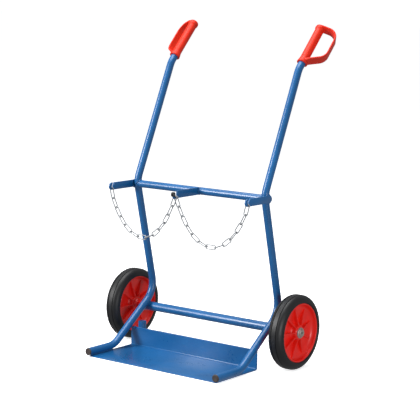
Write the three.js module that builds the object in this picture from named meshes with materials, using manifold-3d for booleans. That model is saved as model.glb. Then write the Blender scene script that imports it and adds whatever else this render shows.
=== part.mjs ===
// Two-cylinder gas welding cart: bent tube frame, folded toe plate, two solid
// rubber wheels on a fixed axle, moulded D grips and a pair of retaining chains.
// Millimetres. +Z is up, +X is the right-hand wheel, -Y is the side that the
// cylinders stand on. The origin is the centre of the toe plate's underside.
import * as THREE from "three";
import { mergeVertices } from "three/addons/utils/BufferGeometryUtils.js";
import Module from "manifold-3d";

const wasm = await Module();
wasm.setup();

// ---- driving dimensions ----------------------------------------------------
const fitGap = 0.3; // clearance kept between pieces that touch
const weldGap = 0.3; // clearance kept where a weld joins two pieces

const trackWidth = 538; // between the centre lines of the side tubes
const tubeDiameter = 25.4;
const tubeWall = 2;
const bendRadius = 76; // centre line radius of every tube bend

const plateDepth = 226;
const plateThickness = 4;
const flangeHeight = 68; // upturned rear edge of the toe plate
const foldRadius = 8; // outer radius of that fold
const noseBevel = 12; // length of the bevel along the plate's front edge
const noseThickness = 2;

const wheelDiameter = 250;
const tyreWidth = 56;
const tyreShoulder = 20;
const tyreBead = 3; // bevel where the tyre meets the rim
const grooveWidth = 3;
const grooveDepth = 3;
const grooveOffset = 9; // groove centre line from the tyre's centre plane
const rimDiameter = 197;
const rimWidth = 52;
const rimWall = 5;
const webThickness = 5;
const hubDiameter = 46;
const hubLength = 44;
const ribCount = 9;
const ribPhase = 37; // first rib, degrees round from straight forwards
const ribThickness = 3;
const ribHubHeight = 19; // half height of a rib at the hub
const ribRimHeight = 7; // half height of a rib at the rim
const ribRoot = 2; // how far a rib runs into the hub and into the barrel

const axleBehindPlate = 96; // axle centre line behind the plate's rear edge
const axleDiameter = 20;
const axleTubeDiameter = 31.8;
const axleTubeWall = 2.6;
const axleTubeOverhang = 3; // past the outside of each side tube
const axleBushLength = 18;
const wheelBushWall = 3;
const spacerWall = 4;
const spacerLength = 38.2; // sets how far the wheels stand off the frame
const spacerFoot = 38; // diameter where the spacer meets the hub
const spacerFlare = 12;
const washerDiameter = 36;
const washerThickness = 2.2;
const capDiameter = 35;
const capHeight = 7;
const capSkin = 1.5;
const capHole = 6;
const capRound = 2; // of the cap's dome
const capFillet = 1; // at the foot of the dome

const diagonalAngle = 36.6; // lower run of the side tube, degrees above level
const uprightLean = 14.3; // middle run, degrees forward of vertical
const upperLean = 23.85; // upper run, degrees behind vertical
const gripLean = 43.3; // top run inside the grip, degrees behind vertical
const waistHeight = 580;
const shoulderHeight = 984;
const footOverhang = 3; // tube end in front of the plate's front edge

const crossbarDrop = 11; // upper crossbar below the waist corner
const armHeight = 25;
const armThickness = 5;
const armReach = 135; // arm tips in front of the tube's centre line
const centreArmReach = 126;
const slotClearance = 1.05; // each side of a link's wire
const slotFromTip = 13.5;
const slotSlant = 24; // degrees the slot leans back from vertical
const slotFloor = 5.5; // metal left under the slot

const wireDiameter = 4.2;
const linkInnerLength = 35;
const linkInnerWidth = 9.6;
const linksPerChain = 13;
const firstLinkTilt = 14; // degrees from vertical, limited by the arm
const hookDiameter = 7;
const hookBend = 7;
const hookSlack = 0.7; // straight rod left between the outer link and the bend
const hookTipRise = 17;
const hookCapDiameter = 15;
const hookCapHeight = 14.5;
const hookCapSkin = 3;
const hookCapEdge = 1.5;
const hookCapRound = 3;
const hookCapCrown = 0.8; // fall of the cap's top from its middle to its round
const linkGap = 0.9; // between the hook's two links, and between them and the arm

const gripLength = 164;
const gripWall = 2.2;
const gripMouth = 26; // grip mouth above the shoulder corner, along the tube
const gripEndWall = 4; // closed end of the grip, past the tube
const collarFlare = 3.8; // mouth's rim stands out from the sleeve
const collarEdge = 1;
const collarLength = 20; // flare from the mouth down to the plain sleeve
const headSwell = 2.3; // closed end is this much thicker than the sleeve
const headLength = 18;
const headRound = 8; // rounded edge of the closed end
const headShoulder = 2.4; // where that rounding's two facets meet
const guardOffset = 63.5; // guard centre line from the tube's centre line
const guardThickness = 6;
const guardRoot = 12; // guard thickness where it leaves the sleeve
const guardWidth = 39;
const guardStart = 7; // where the guard leaves the sleeve, from the mouth
const guardKnee = 48.5;
const guardTopDrop = 6.5; // guard's upper run below the grip's closed end
const guardKneeRadius = 38;
const guardTopRadius = 32;
const guardTurn = 28; // guard direction, degrees behind straight outwards

const plugHead = 4;
const plugBevel = 2; // along the head's edge, and half as much again across it
const plugStem = 18;

const holderDiameter = 28;
const holderWall = 2;
const holderHeight = 82;
const holderLift = 6; // bottom of the rod holder above the floor
const holderInset = 34; // holder axis inboard of the side tube

// ---- facets per full turn --------------------------------------------------
const tubeSides = 14;
const boreSides = 10;
const wheelSides = 32;
const smallSides = 16;

// ---- values worked out from the dimensions ----------------------------------
const radians = THREE.MathUtils.degToRad;
const tubeRadius = tubeDiameter / 2;
const boreRadius = tubeRadius - tubeWall;
const halfTrack = trackWidth / 2;
const plateRear = plateDepth / 2;
const axleY = plateRear + axleBehindPlate;
const axleZ = wheelDiameter / 2;
const axleTubeRadius = axleTubeDiameter / 2;
const axleTubeEnd = halfTrack + tubeRadius + axleTubeOverhang;
const innerWasherStart = axleTubeEnd + fitGap;
const spacerStart = innerWasherStart + washerThickness + fitGap;
const hubStart = spacerStart + spacerLength + fitGap;
const hubEnd = hubStart + hubLength;
const wheelX = hubStart + hubLength / 2;
const axleCapStart = hubEnd + fitGap + washerThickness + fitGap;
const footZ = plateThickness + weldGap + tubeRadius;
const gripRunLength = gripMouth + gripLength - gripEndWall - fitGap;
const guardTop = gripLength - guardTopDrop;
const route = sideTubeRoute();
const routeStations = bendStations(route, bendRadius);
const crossbarZ = waistHeight - crossbarDrop;
const crossbarY = routeDepthAt(crossbarZ);
const armX = halfTrack + tubeRadius + weldGap + armThickness / 2;
const armTipY = crossbarY - armReach;
const centreArmTipY = crossbarY - centreArmReach;
const chainTopZ = crossbarZ - armHeight / 2 + slotFloor;
const linkHalfLength = (linkInnerLength + wireDiameter) / 2;
const linkPitch = 2 * linkHalfLength - wireDiameter - 2 * fitGap;
const hookRodZ = chainTopZ - hookDiameter / 2;
const linkSeparation = wireDiameter + linkGap;
const hookReach = 2 * linkSeparation + hookSlack + hookBend;
const nearLinkY = centreArmTipY - linkGap - wireDiameter / 2;
const slotWidth = wireDiameter + 2 * slotClearance;

// ---- helpers ----------------------------------------------------------------
function point(x, y, z) {
  return new THREE.Vector3(x, y, z);
}

function toSolid(geometry) {
  const bare = geometry.clone();
  bare.deleteAttribute("normal");
  bare.deleteAttribute("uv");
  const merged = mergeVertices(bare, 1e-4);
  const vertProperties = new Float32Array(merged.attributes.position.array);
  const triVerts = new Uint32Array(merged.index.array);
  return new wasm.Manifold(new wasm.Mesh({ numProp: 3, vertProperties, triVerts }));
}

function toGeometry(solid) {
  const mesh = solid.getMesh();
  const geometry = new THREE.BufferGeometry();
  geometry.setAttribute("position", new THREE.BufferAttribute(mesh.vertProperties, 3));
  geometry.setIndex(new THREE.BufferAttribute(mesh.triVerts, 1));
  return geometry;
}

// A disc, or a ring when an inner radius is given, as a flat outline.
function roundSection(outer, inner, holeSides) {
  const shape = new THREE.Shape();
  shape.absarc(0, 0, outer, 0, 2 * Math.PI, false);
  if (inner) {
    const hole = new THREE.Path();
    hole.setFromPoints(circlePoints(inner, holeSides));
    shape.holes.push(hole);
  }
  return shape;
}

function circlePoints(radius, sides) {
  const points = [];
  for (let i = 0; i < sides; i++) {
    const angle = (2 * Math.PI * i) / sides;
    points.push(new THREE.Vector2(radius * Math.cos(angle), radius * Math.sin(angle)));
  }
  return points;
}

// Corner points and one bend radius become stations: a place and a heading at
// both ends and every 12 degrees or less round each bend.
function bendStations(corners, radius) {
  const stations = [];
  const last = corners.length - 1;
  const heading = (i) => corners[i + 1].clone().sub(corners[i]).normalize();
  stations.push({ at: corners[0].clone(), heading: heading(0) });
  for (let i = 1; i < last; i++) {
    const before = heading(i - 1);
    const after = heading(i);
    const turn = before.angleTo(after);
    const axis = before.clone().cross(after).normalize();
    const start = corners[i].clone().addScaledVector(before, -radius * Math.tan(turn / 2));
    const centre = start.clone().addScaledVector(axis.clone().cross(before), radius);
    const steps = Math.max(2, Math.ceil(turn / radians(12)));
    for (let k = 0; k <= steps; k++) {
      const angle = (turn * k) / steps;
      const at = start.clone().sub(centre).applyAxisAngle(axis, angle).add(centre);
      stations.push({ at, heading: before.clone().applyAxisAngle(axis, angle) });
    }
  }
  stations.push({ at: corners[last].clone(), heading: heading(last - 1) });
  return stations;
}

// A curve whose steps fall exactly on the stations.
class StationLine extends THREE.Curve {
  constructor(stations) {
    super();
    this.stations = stations;
  }

  blend(t, key) {
    const place = t * (this.stations.length - 1);
    const low = Math.min(Math.floor(place + 1e-6), this.stations.length - 2);
    const from = this.stations[low][key];
    return from.clone().lerp(this.stations[low + 1][key], place - low);
  }

  getPoint(t) {
    return this.blend(t, "at");
  }

  getTangent(t) {
    return this.blend(t, "heading").normalize();
  }

  getUtoTmapping(u) {
    return u;
  }
}

function sweep(section, stations, sides) {
  return new THREE.ExtrudeGeometry(section, {
    steps: stations.length - 1,
    curveSegments: sides / 2,
    extrudePath: new StationLine(stations),
  });
}

// A round bar or tube along X, from one x to another.
function barAlongX(fromX, toX, outer, inner, y, z, sides = smallSides) {
  const stations = bendStations([point(fromX, y, z), point(toX, y, z)], 0);
  return sweep(roundSection(outer, inner, sides), stations, sides);
}

// A profile of radius and height turned round the Z axis.
function turned(profile, sides) {
  const outline = profile.map(([radius, height]) => new THREE.Vector2(radius, height));
  outline.push(outline[0].clone());
  return new THREE.LatheGeometry(outline, sides);
}

function extruded(shape, depth, sides = 16) {
  const options = { depth, bevelEnabled: false, curveSegments: sides / 2 };
  return new THREE.ExtrudeGeometry(shape, options);
}

function place(mesh, origin, xAxis, yAxis) {
  const zAxis = xAxis.clone().cross(yAxis);
  const turnMatrix = new THREE.Matrix4().makeBasis(xAxis, yAxis, zAxis);
  mesh.position.copy(origin);
  mesh.quaternion.setFromRotationMatrix(turnMatrix);
  return mesh;
}

// ---- materials ----------------------------------------------------------------
function material(color, roughness, metalness) {
  return new THREE.MeshStandardMaterial({ color, roughness, metalness });
}

const bluePaint = material(0x2b66a8, 0.3, 0.1);
const redPlastic = material(0xe0301e, 0.35, 0);
const rimPlastic = material(0xc41720, 0.4, 0);
const tyreRubber = material(0x27272a, 0.75, 0);
const zinc = material(0xc9ccce, 0.3, 0.95);
const steel = material(0x8d9093, 0.35, 0.95);
const nylon = material(0xd9d5c8, 0.5, 0);
const plugPlastic = material(0x3b3230, 0.6, 0);
const blackPlastic = material(0x141416, 0.35, 0);

// ---- frame --------------------------------------------------------------------
// The side tube's corners, from the foot to the top. The first bend begins where
// the tube touches the axle tube, so the lower run lies on the axle tube.
function sideTubeRoute() {
  const diagonal = radians(diagonalAngle);
  const turn = radians(90 + uprightLean - diagonalAngle);
  const reach = tubeRadius + axleTubeRadius + weldGap;
  const touchY = axleY - reach * Math.sin(diagonal);
  const touchZ = axleZ + reach * Math.cos(diagonal);
  const cut = bendRadius * Math.tan(turn / 2);
  const rearY = touchY + cut * Math.cos(diagonal);
  const rearZ = touchZ + cut * Math.sin(diagonal);
  const kneeY = touchY - (touchZ - footZ) / Math.tan(diagonal);
  const waistY = rearY - (waistHeight - rearZ) * Math.tan(radians(uprightLean));
  const shoulderY = waistY + (shoulderHeight - waistHeight) * Math.tan(radians(upperLean));
  const topY = shoulderY + gripRunLength * Math.sin(radians(gripLean));
  const topZ = shoulderHeight + gripRunLength * Math.cos(radians(gripLean));
  return [
    point(0, -plateRear - footOverhang, footZ),
    point(0, kneeY, footZ),
    point(0, rearY, rearZ),
    point(0, waistY, waistHeight),
    point(0, shoulderY, shoulderHeight),
    point(0, topY, topZ),
  ];
}

// Y of the side tube's centre line at a height above the rear bend.
function routeDepthAt(height) {
  const above = routeStations.findIndex((s, i) => i > 8 && s.at.z > height);
  const low = routeStations[above - 1].at;
  const high = routeStations[above].at;
  return THREE.MathUtils.mapLinear(height, low.z, high.z, low.y, high.y);
}

function sideTube(name, side) {
  const section = roundSection(tubeRadius, boreRadius, boreSides);
  const mesh = new THREE.Mesh(sweep(section, routeStations, tubeSides), bluePaint);
  mesh.name = name;
  mesh.position.x = side * halfTrack;
  return mesh;
}

// The space round a side tube that a welded neighbour is cut back to.
function sideTubeSpace(side) {
  const section = roundSection(tubeRadius + weldGap);
  const geometry = sweep(section, routeStations, tubeSides);
  geometry.translate(side * halfTrack, 0, 0);
  return toSolid(geometry);
}

const tubeSpaces = sideTubeSpace(-1).add(sideTubeSpace(1));

function upperCrossbar() {
  const bar = barAlongX(-halfTrack, halfTrack, tubeRadius, boreRadius, crossbarY, crossbarZ);
  const ends = toSolid(bar).subtract(tubeSpaces);
  const geometry = toGeometry(largestPiece(ends));
  return named(geometry, bluePaint, "upper_crossbar");
}

// Cutting a tube back at both ends leaves loose crumbs past the cut.
function largestPiece(solid) {
  const pieces = solid.decompose();
  return pieces.reduce((best, piece) => (piece.volume() > best.volume() ? piece : best));
}

function named(geometry, look, name) {
  const mesh = new THREE.Mesh(geometry, look);
  mesh.name = name;
  return mesh;
}

function axleTube() {
  const inner = axleTubeRadius - axleTubeWall;
  const bar = barAlongX(-axleTubeEnd, axleTubeEnd, axleTubeRadius, inner, axleY, axleZ);
  return named(toGeometry(toSolid(bar).subtract(tubeSpaces)), bluePaint, "axle_tube");
}

// Toe plate and its upturned rear flange, folded from one sheet.
function toePlate() {
  const front = -plateRear;
  const innerRadius = foldRadius - plateThickness;
  const foldY = plateRear - foldRadius;
  const profile = new THREE.Shape();
  profile.moveTo(front, 0);
  profile.lineTo(foldY, 0);
  profile.absarc(foldY, foldRadius, foldRadius, -Math.PI / 2, 0, false);
  profile.lineTo(plateRear, flangeHeight);
  profile.lineTo(plateRear - plateThickness, flangeHeight);
  profile.lineTo(plateRear - plateThickness, foldRadius);
  profile.absarc(foldY, foldRadius, innerRadius, 0, -Math.PI / 2, true);
  profile.lineTo(front + noseBevel, plateThickness);
  profile.lineTo(front, noseThickness);
  const mesh = named(extruded(profile, trackWidth), bluePaint, "toe_plate");
  return place(mesh, point(-halfTrack, 0, 0), point(0, 1, 0), point(0, 0, 1));
}

// Flat bar outline in the Y-Z plane with round ends.
function armOutline(tipY, rearY) {
  const radius = armHeight / 2;
  const outline = new THREE.Shape();
  outline.moveTo(tipY + radius, -radius);
  outline.lineTo(rearY - radius, -radius);
  outline.absarc(rearY - radius, 0, radius, -Math.PI / 2, Math.PI / 2, false);
  outline.lineTo(tipY + radius, radius);
  outline.absarc(tipY + radius, 0, radius, Math.PI / 2, (3 * Math.PI) / 2, false);
  return outline;
}

// A round-bottomed slot, open at the arm's top edge, that a chain link drops into.
function slotCutter() {
  const radius = slotWidth / 2;
  const top = 2 * armHeight;
  const outline = new THREE.Shape();
  outline.moveTo(-radius, top);
  outline.lineTo(-radius, 0);
  outline.absarc(0, 0, radius, Math.PI, 2 * Math.PI, false);
  outline.lineTo(radius, top);
  const cutter = extruded(outline, 2 * armThickness, 12);
  cutter.rotateZ(-radians(slotSlant));
  const floorHeight = slotFloor + radius - armHeight / 2;
  cutter.translate(armTipY + slotFromTip, floorHeight, -armThickness / 2);
  return toSolid(cutter);
}

function outerArm(name, side) {
  const bar = extruded(armOutline(armTipY, crossbarY + tubeRadius), armThickness);
  const slotted = toGeometry(toSolid(bar).subtract(slotCutter()));
  const mesh = named(slotted, bluePaint, name);
  const start = point(side * armX - armThickness / 2, 0, crossbarZ);
  return place(mesh, start, point(0, 1, 0), point(0, 0, 1));
}

function centreArm() {
  const half = armHeight / 2;
  const outline = new THREE.Shape();
  outline.moveTo(centreArmTipY, -half);
  outline.lineTo(crossbarY, -half);
  outline.lineTo(crossbarY, half);
  outline.lineTo(centreArmTipY, half);
  const bar = extruded(outline, armThickness);
  bar.applyMatrix4(new THREE.Matrix4().set(
    0, 0, 1, -armThickness / 2,
    1, 0, 0, 0,
    0, 1, 0, crossbarZ,
    0, 0, 0, 1,
  ));
  const space = barAlongX(-armThickness, armThickness, tubeRadius + weldGap, 0, crossbarY, crossbarZ);
  const cut = largestPiece(toSolid(bar).subtract(toSolid(space)));
  return named(toGeometry(cut), bluePaint, "centre_arm");
}

// Rod bent up at its tip, butted to the front of the centre arm.
function chainHook() {
  const startY = centreArmTipY - weldGap;
  const tipY = centreArmTipY - hookReach;
  const tipZ = hookRodZ + hookTipRise;
  const corners = [point(0, startY, hookRodZ), point(0, tipY, hookRodZ), point(0, tipY, tipZ)];
  const rod = sweep(roundSection(hookDiameter / 2), bendStations(corners, hookBend), 12);
  return named(rod, bluePaint, "chain_hook");
}

function hookCap() {
  const outer = hookCapDiameter / 2;
  const bore = (hookDiameter / 2 + fitGap) / Math.cos(Math.PI / smallSides);
  const roof = hookCapHeight - hookCapSkin;
  const profile = [
    [bore, 0],
    [outer - hookCapEdge, 0],
    [outer, hookCapEdge],
    [outer, hookCapHeight - hookCapRound - hookCapCrown],
    [outer - hookCapRound, hookCapHeight - hookCapCrown],
    [0, hookCapHeight],
    [0, roof],
    [bore, roof],
  ];
  const mesh = named(turned(profile, smallSides), blackPlastic, "hook_cap");
  mesh.rotation.x = Math.PI / 2;
  mesh.position.set(0, centreArmTipY - hookReach, hookRodZ + hookTipRise + fitGap - roof);
  return mesh;
}

function footPlug(name, side) {
  const head = tubeRadius;
  const stem = boreRadius * Math.cos(Math.PI / boreSides) - fitGap;
  const profile = [
    [0, 0],
    [head - 1.5 * plugBevel, 0],
    [head, plugBevel],
    [head, plugHead],
    [stem, plugHead],
    [stem, plugHead + plugStem],
    [0, plugHead + plugStem],
  ];
  const mesh = named(turned(profile, tubeSides), plugPlastic, name);
  mesh.position.set(side * halfTrack, route[0].y - plugHead - fitGap, footZ);
  return mesh;
}

// Open-topped cup behind the plate's flange for filler rods.
function rodHolder() {
  const outer = holderDiameter / 2;
  const inner = outer - holderWall;
  const profile = [
    [0, 0],
    [outer, 0],
    [outer, holderHeight],
    [inner, holderHeight],
    [inner, holderWall],
    [0, holderWall],
  ];
  const mesh = named(turned(profile, smallSides), bluePaint, "rod_holder");
  mesh.rotation.x = Math.PI / 2;
  mesh.position.set(-halfTrack + holderInset, plateRear + weldGap + outer, holderLift);
  return mesh;
}

// ---- grips ---------------------------------------------------------------------
// Guard centre line in the grip's own plane: height along the tube, then offset.
function guardCorners() {
  return [
    point(0, 0, guardStart),
    point(guardOffset, 0, guardKnee),
    point(guardOffset, 0, guardTop),
    point(0, 0, guardTop),
  ];
}

function guardBand() {
  const corners = guardCorners();
  const knee = bendStations(corners.slice(0, 3), guardKneeRadius);
  const top = bendStations(corners.slice(1), guardTopRadius);
  const stations = [...knee.slice(0, -1), ...top.slice(1)];
  const outward = [];
  const inward = [];
  stations.forEach(({ at, heading }, i) => {
    const half = (i === 0 ? guardRoot : guardThickness) / 2;
    const normal = new THREE.Vector2(heading.z, -heading.x);
    const middle = new THREE.Vector2(at.x, at.z);
    outward.push(middle.clone().addScaledVector(normal, half));
    inward.push(middle.clone().addScaledVector(normal, -half));
  });
  const band = extruded(new THREE.Shape([...outward, ...inward.reverse()]), guardWidth);
  band.translate(0, 0, -guardWidth / 2);
  band.rotateX(Math.PI / 2);
  return toSolid(band);
}

function zTurned(profile, sides) {
  return turned(profile, sides).rotateX(Math.PI / 2);
}

function gripBody() {
  const outer = tubeRadius + fitGap + gripWall;
  const collar = outer + collarFlare;
  const bore = (tubeRadius + fitGap) / Math.cos(Math.PI / smallSides);
  const head = outer + headSwell;
  const depth = gripLength - gripEndWall;
  const sleeve = zTurned([
    [0, 0],
    [collar - collarEdge, 0],
    [collar, 2 * collarEdge],
    [outer, collarLength],
    [outer, gripLength - headLength],
    [head, gripLength - headLength + headSwell],
    [head, gripLength - headRound],
    [head - headShoulder, gripLength - headShoulder],
    [head - headRound, gripLength],
    [0, gripLength],
  ], smallSides);
  const hole = zTurned([
    [0, -guardRoot],
    [bore, -guardRoot],
    [bore, depth],
    [0, depth],
  ], smallSides);
  return toGeometry(toSolid(sleeve).add(guardBand()).subtract(toSolid(hole)));
}

const gripGeometry = gripBody();

// The guard points outwards and backwards, square to the tube.
function grip(name, side) {
  const along = route[5].clone().sub(route[4]).normalize();
  const behind = point(0, along.z, -along.y);
  const turn = radians(guardTurn);
  const guard = point(side * Math.cos(turn), 0, 0).addScaledVector(behind, Math.sin(turn));
  const mouth = route[4].clone().addScaledVector(along, gripMouth).setX(side * halfTrack);
  const mesh = named(gripGeometry, redPlastic, name);
  return place(mesh, mouth, guard, along.clone().cross(guard));
}

// ---- wheels --------------------------------------------------------------------
function tyreProfile() {
  const outer = wheelDiameter / 2;
  const inner = rimDiameter / 2 + fitGap;
  const half = tyreWidth / 2;
  const flat = half - tyreShoulder;
  const profile = [];
  profile.push([inner, half - tyreBead]);
  profile.push([inner + tyreBead, half]);
  for (let k = 0; k <= 4; k++) {
    const angle = (Math.PI / 2) * (k / 4);
    const radius = outer - tyreShoulder + tyreShoulder * Math.sin(angle);
    profile.push([radius, flat + tyreShoulder * Math.cos(angle)]);
  }
  return profile;
}

// Tread grooves go in on both sides of the centre plane.
function tyreOutline() {
  const outer = wheelDiameter / 2;
  const half = tyreProfile();
  const shoulder = half.filter(([, height]) => height > grooveOffset + grooveWidth);
  const groove = [
    [outer, grooveOffset + grooveWidth / 2],
    [outer - grooveDepth, grooveOffset + grooveWidth / 4],
    [outer - grooveDepth, grooveOffset - grooveWidth / 4],
    [outer, grooveOffset - grooveWidth / 2],
  ];
  const upper = [...shoulder, ...groove];
  const lower = upper.map(([radius, height]) => [radius, -height]);
  return [...lower, ...upper.reverse()];
}

function tyre() {
  return turned(tyreOutline(), wheelSides);
}

// Barrel, web and hub turned in one, then ribs added on both faces of the web.
function rim() {
  const outer = rimDiameter / 2;
  const inner = outer - rimWall;
  const web = webThickness / 2;
  const face = rimWidth / 2;
  const hub = hubDiameter / 2;
  const end = hubLength / 2;
  const bore = axleDiameter / 2 + fitGap + wheelBushWall + fitGap;
  const body = turned([
    [bore, -end],
    [hub, -end],
    [hub, -web],
    [inner, -web],
    [inner, -face],
    [outer, -face],
    [outer, face],
    [inner, face],
    [inner, web],
    [hub, web],
    [hub, end],
    [bore, end],
  ], wheelSides);
  let solid = toSolid(body);
  for (let i = 0; i < ribCount; i++) {
    solid = solid.add(rib(radians(ribPhase + (360 * i) / ribCount), hub - ribRoot, inner + ribRoot));
  }
  return toGeometry(solid);
}

// One rib through the web, deep at the hub and shallow at the rim.
function rib(angle, fromRadius, toRadius) {
  const outline = new THREE.Shape();
  outline.moveTo(fromRadius, -ribHubHeight);
  outline.lineTo(toRadius, -ribRimHeight);
  outline.lineTo(toRadius, ribRimHeight);
  outline.lineTo(fromRadius, ribHubHeight);
  const plate = extruded(outline, ribThickness);
  plate.translate(0, 0, -ribThickness / 2);
  plate.rotateY(angle);
  return toSolid(plate);
}

const tyreGeometry = tyre();
const rimGeometry = rim();

// Rings on the axle, all turned round the same axis.
function ring(inner, outer, length) {
  return turned([
    [inner, 0],
    [outer, 0],
    [outer, length],
    [inner, length],
  ], smallSides);
}

function retainingCap() {
  const rimRadius = capDiameter / 2;
  const bore = axleDiameter / 2 + fitGap;
  const dome = bore + capSkin;
  return turned([
    [bore, 0],
    [rimRadius, 0],
    [rimRadius, capSkin],
    [dome + capFillet, capSkin],
    [dome, capHeight - capRound],
    [dome - capRound, capHeight],
    [capHole / 2, capHeight],
    [capHole / 2, capHeight - capSkin],
    [bore, capHeight - capSkin],
  ], smallSides);
}

// A group whose local Y axis is the axle, pointing outwards on that side.
function axleGroup(side) {
  const group = new THREE.Group();
  group.position.set(0, axleY, axleZ);
  group.rotation.z = -side * Math.PI / 2;
  return group;
}

function alongAxle(geometry, look, name, distance) {
  const mesh = named(geometry, look, name);
  mesh.position.y = distance;
  return mesh;
}

// Sleeve between the frame and the wheel, widening towards the hub.
function spacerSleeve(bore) {
  return turned([
    [bore, 0],
    [bore + spacerWall, 0],
    [bore + spacerWall, spacerLength - spacerFlare],
    [spacerFoot / 2, spacerLength],
    [bore, spacerLength],
  ], smallSides);
}

// Everything on one end of the axle, stacked outwards with the fit gap.
function wheelSet(prefix, side) {
  const bore = axleDiameter / 2 + fitGap;
  const bushStart = axleTubeEnd - axleBushLength;
  const tubeInner = (axleTubeRadius - axleTubeWall) * Math.cos(Math.PI / smallSides);
  const washer = ring(bore, washerDiameter / 2, washerThickness);
  const group = axleGroup(side);
  group.add(
    alongAxle(ring(bore, tubeInner - fitGap, axleBushLength), steel, `${prefix}_axle_bush`, bushStart),
    alongAxle(washer, zinc, `${prefix}_inner_washer`, innerWasherStart),
    alongAxle(spacerSleeve(bore), rimPlastic, `${prefix}_axle_spacer`, spacerStart),
    alongAxle(tyreGeometry, tyreRubber, `${prefix}_tyre`, wheelX),
    alongAxle(rimGeometry, rimPlastic, `${prefix}_wheel_rim`, wheelX),
    alongAxle(ring(bore, bore + wheelBushWall, hubLength), nylon, `${prefix}_wheel_bush`, hubStart),
    alongAxle(washer, zinc, `${prefix}_outer_washer`, hubEnd + fitGap),
    alongAxle(retainingCap(), steel, `${prefix}_retaining_cap`, axleCapStart),
  );
  return group;
}

function axle() {
  const end = axleCapStart + capHeight - capSkin - fitGap;
  return named(barAlongX(-end, end, axleDiameter / 2, 0, axleY, axleZ), steel, "axle");
}

// ---- chains --------------------------------------------------------------------
// One link: a ring pulled out lengthways, so its sides are straight along Y.
function linkGeometry() {
  const tubular = 8;
  const halfStep = Math.PI / tubular;
  const ringRadius = (linkInnerWidth + wireDiameter) / 2;
  const torus = new THREE.TorusGeometry(ringRadius / Math.cos(halfStep), wireDiameter / 2, 6, tubular);
  torus.rotateZ(halfStep);
  const stretch = linkHalfLength - ringRadius;
  const position = torus.attributes.position;
  for (let i = 0; i < position.count; i++) {
    position.setY(i, position.getY(i) + Math.sign(position.getY(i)) * stretch);
  }
  return torus;
}

// Slopes of the links of a chain that hangs free over a level span and a drop:
// each link's slope rises evenly along the chain, as its load does.
function hangingSlopes(lengths, span, drop) {
  const count = lengths.length;
  const slopesFor = (lowest, pull) => lengths.map((_, i) => Math.atan((i - lowest) / pull));
  const total = (slopes, part) => slopes.reduce((sum, slope, i) => sum + lengths[i] * part(slope), 0);
  const balanced = (pull) => {
    const lowest = bisect((x) => drop - total(slopesFor(x, pull), Math.sin), -count, 2 * count);
    return slopesFor(lowest, pull);
  };
  const pull = bisect((x) => total(balanced(x), Math.cos) - span, 0.01, 50);
  return balanced(pull);
}

function bisect(rising, low, high) {
  for (let i = 0; i < 60; i++) {
    const middle = (low + high) / 2;
    if (rising(middle) > 0) {
      high = middle;
    } else {
      low = middle;
    }
  }
  return (low + high) / 2;
}

const chainLink = linkGeometry();

// Links from the arm's slot to the hook; every other link is turned square. The
// first link's crown is a half circle round the slot's floor, and its centre is
// low enough to clear the arm's edges at any tilt.
function chain(prefix, side, hookY) {
  const group = new THREE.Group();
  const clearRadius = linkInnerWidth / 2 - fitGap;
  const crownCentre = linkHalfLength - (linkInnerWidth + wireDiameter) / 2;
  const seatDepth = Math.sqrt(clearRadius ** 2 - (armThickness / 2) ** 2);
  const slotEnd = point(side * armX, armTipY + slotFromTip, chainTopZ - seatDepth);
  const hookEnd = point(0, hookY, hookRodZ);
  const inward = hookEnd.clone().sub(slotEnd).setZ(0).normalize();
  const across = inward.clone().cross(point(0, 0, 1));
  const tilt = radians(firstLinkTilt);
  const firstLength = crownCentre + linkPitch / 2;
  const lengths = Array(linksPerChain - 1).fill(linkPitch);
  lengths[lengths.length - 1] = linkPitch - hookDiameter / 2;
  const span = Math.hypot(hookEnd.x - slotEnd.x, hookEnd.y - slotEnd.y) - firstLength * Math.sin(tilt);
  const drop = hookEnd.z - slotEnd.z + firstLength * Math.cos(tilt);
  const slopes = [tilt - Math.PI / 2, ...hangingSlopes(lengths, span, drop)];
  const at = slotEnd.clone();
  slopes.forEach((slope, i) => {
    const along = inward.clone().multiplyScalar(Math.cos(slope)).setZ(Math.sin(slope));
    const upright = i % 2 === 0 ? along.clone().cross(across) : across;
    const mesh = named(chainLink, zinc, `${prefix}_chain_link_${String(i + 1).padStart(2, "0")}`);
    const toCentre = i === 0 ? crownCentre : linkPitch / 2;
    const centre = at.clone().addScaledVector(along, toCentre);
    group.add(place(mesh, centre, upright, along));
    at.copy(centre).addScaledVector(along, linkPitch / 2);
  });
  return group;
}

// ---- assembly ------------------------------------------------------------------
const group = new THREE.Group();

group.add(
  sideTube("left_side_tube", -1),
  sideTube("right_side_tube", 1),
  upperCrossbar(),
  axleTube(),
  axle(),
  toePlate(),
  outerArm("left_outer_arm", -1),
  outerArm("right_outer_arm", 1),
  centreArm(),
  chainHook(),
  hookCap(),
  footPlug("left_foot_plug", -1),
  footPlug("right_foot_plug", 1),
  rodHolder(),
  grip("left_grip", -1),
  grip("right_grip", 1),
  wheelSet("left", -1),
  wheelSet("right", 1),
  chain("left", -1, nearLinkY - linkSeparation),
  chain("right", 1, nearLinkY),
);

export default group;
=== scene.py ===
from math import ceil, cos, degrees, pi, radians, sin, sqrt, tan
import bpy
import bmesh
import numpy as np
from mathutils import Matrix, Vector


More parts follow.
